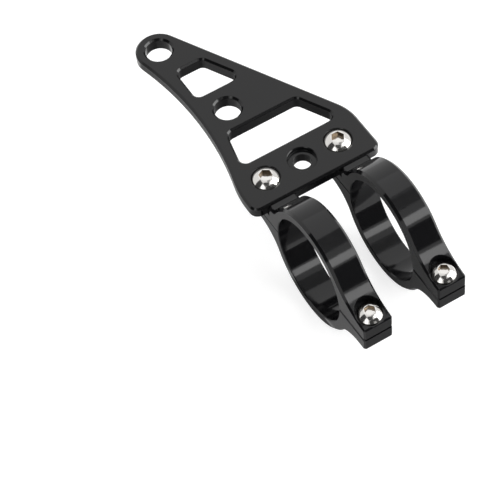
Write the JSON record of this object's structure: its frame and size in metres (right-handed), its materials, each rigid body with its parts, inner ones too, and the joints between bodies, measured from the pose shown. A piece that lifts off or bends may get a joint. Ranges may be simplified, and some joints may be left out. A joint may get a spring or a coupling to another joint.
{
  "type": "headlight mounting bracket",
  "caption": "Flat headlight bracket with an offset lamp arm and weight-saving windows, bolted across split clamps that close on one motorcycle fork tube.",
  "frame": {"origin": "axis of the fork tube, midway between the clamps, in the plane where the clamp halves part", "axes": "+X along the fork tube, +Y from the tube towards the lamp hole, +Z out of the plate's counterbored face"},
  "size_m": [0.0556, 0.1601, 0.0496],
  "materials": {
    "plate_black": "satin black anodised",
    "clamp_black": "polished gloss black anodised",
    "screw_steel": "polished stainless"
  },
  "bodies": {
    "root": {"plate": "plate_black", "left_clamp_upper": "clamp_black", "left_clamp_lower": "clamp_black", "right_clamp_upper": "clamp_black", "right_clamp_lower": "clamp_black", "left_plate_screw": "screw_steel", "right_plate_screw": "screw_steel", "left_pinch_screw": "screw_steel", "right_pinch_screw": "screw_steel"}
  },
  "joints": []
}
